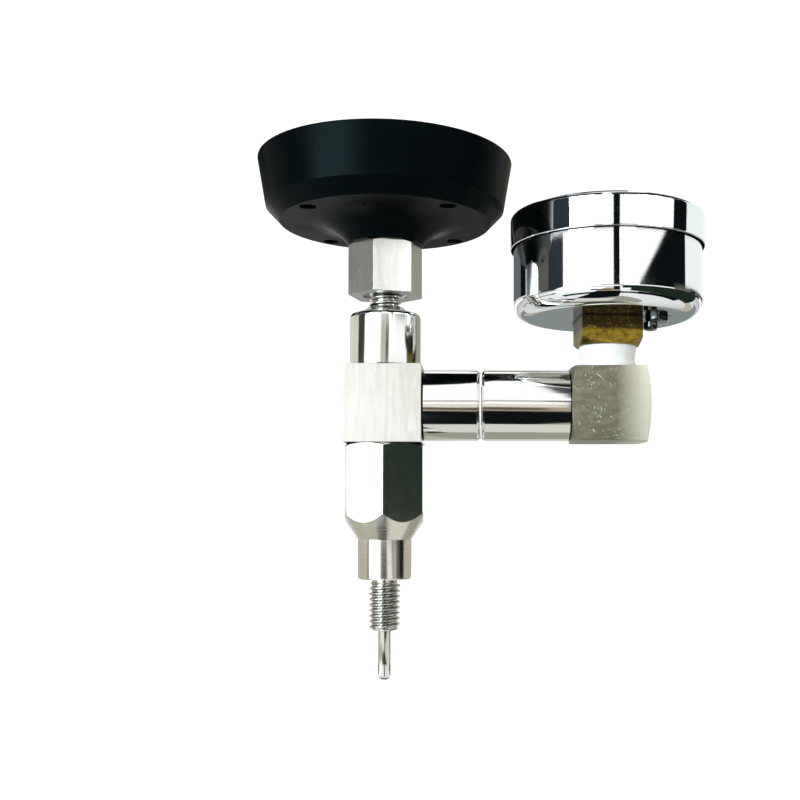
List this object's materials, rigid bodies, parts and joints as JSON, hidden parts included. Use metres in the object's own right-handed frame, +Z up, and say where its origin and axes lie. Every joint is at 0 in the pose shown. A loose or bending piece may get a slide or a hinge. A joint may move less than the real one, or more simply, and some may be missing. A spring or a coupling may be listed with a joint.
{
  "type": "espresso machine expansion valve",
  "caption": "Needle valve with a black hand knob, a threaded nozzle and needle below, and a swivelling side arm that carries a chromed pressure gauge on an elbow.",
  "frame": {"origin": "centre of the shoulder at the end of the lower body's spigot, where the valve seats on the machine", "axes": "+Z up along the spindle to the knob, +X along the side arm to the gauge"},
  "size_m": [0.0821, 0.0466, 0.095],
  "materials": {
    "brushed_stainless": "brushed stainless steel",
    "elbow_stainless": "satin, scratched stainless steel",
    "polished_stainless": "polished stainless steel",
    "seal_rubber": "matte black",
    "knob_plastic": "satin black",
    "black_screws": "blackened steel",
    "ring_plastic": "white low-friction plastic",
    "spring_steel": "bright steel",
    "thread_tape": "white sealing tape, wrinkled",
    "stem_brass": "dull brass",
    "case_chrome": "mirror chrome plate",
    "plug_rubber": "glossy black",
    "clear_lens": "clear",
    "dial_white": "matte white",
    "pointer_black": "satin black",
    "movement_brass": "bright brass"
  },
  "bodies": {
    "valve_body": {"lower_body": "brushed_stainless", "gland_body": "polished_stainless", "gland_bush": "polished_stainless"},
    "stem_seal": {"spindle_seal": "seal_rubber"},
    "knob": {"spindle": "brushed_stainless", "knob_hub": "brushed_stainless", "knob_body": "knob_plastic", "knob_cap": "knob_plastic", "knob_cap_screws": "black_screws", "knob_centre_screw": "black_screws"},
    "tee": {"tee_block": "brushed_stainless", "tee_seals": "seal_rubber", "arm_collar": "polished_stainless", "swivel_ring": "ring_plastic", "arm_seal": "seal_rubber"},
    "gauge_arm": {"arm_clip": "spring_steel", "arm_sleeve": "polished_stainless", "elbow_block": "elbow_stainless", "sealing_tape": "thread_tape", "gauge_stem": "stem_brass", "gauge_case": "case_chrome", "case_nut": "stem_brass", "vent_plug": "plug_rubber", "bezel": "case_chrome", "lens_gasket": "seal_rubber", "lens": "clear_lens", "dial": "dial_white", "dial_screws": "spring_steel", "tube_socket": "stem_brass", "pressure_tube": "movement_brass", "movement_plates": "movement_brass", "movement_screws": "spring_steel", "hairspring": "movement_brass"},
    "gauge_pointer": {"pinion_shaft": "movement_brass", "pointer": "pointer_black"},
    "gauge_sector": {"sector_gear": "movement_brass"},
    "gauge_link": {"tube_link": "spring_steel"}
  },
  "joints": [
    {"name": "stem_lift", "type": "slide", "parent": "valve_body", "child": "stem_seal", "axis": [0, 0, 1], "range_m": [-0.002, 0.0025]},
    {"name": "knob_turn", "type": "hinge", "parent": "stem_seal", "child": "knob", "pos_m": [0, 0, 0.05], "axis": [0, 0, 1], "range_deg": [-720, 900]},
    {"name": "tee_turn", "type": "hinge", "parent": "valve_body", "child": "tee", "pos_m": [0, 0, 0.0317], "axis": [0, 0, 1], "continuous": true},
    {"name": "arm_turn", "type": "hinge", "parent": "tee", "child": "gauge_arm", "pos_m": [0.02, 0, 0.0317], "axis": [1, 0, 0], "continuous": true},
    {"name": "pointer_turn", "type": "hinge", "parent": "gauge_arm", "child": "gauge_pointer", "pos_m": [0.04095, 0, 0.06], "axis": [0, 0, 1], "range_deg": [-270, 0], "stiffness_Nm_per_rad": 0.00001},
    {"name": "sector_turn", "type": "hinge", "parent": "gauge_arm", "child": "gauge_sector", "pos_m": [0.04734, -0.00639, 0.058], "axis": [0, 0, 1], "range_deg": [0, 33.8]},
    {"name": "link_turn", "type": "hinge", "parent": "gauge_sector", "child": "gauge_link", "pos_m": [0.05021, -0.00726, 0.058], "axis": [0, 0, 1], "range_deg": [-33.8, 0]}
  ],
  "couplings": [
    {"joint": "stem_lift", "follows": "knob_turn", "m_per_rad": 0.00015915},
    {"joint": "sector_turn", "follows": "pointer_turn", "ratio": -0.125},
    {"joint": "link_turn", "follows": "pointer_turn", "ratio": 0.125}
  ]
}
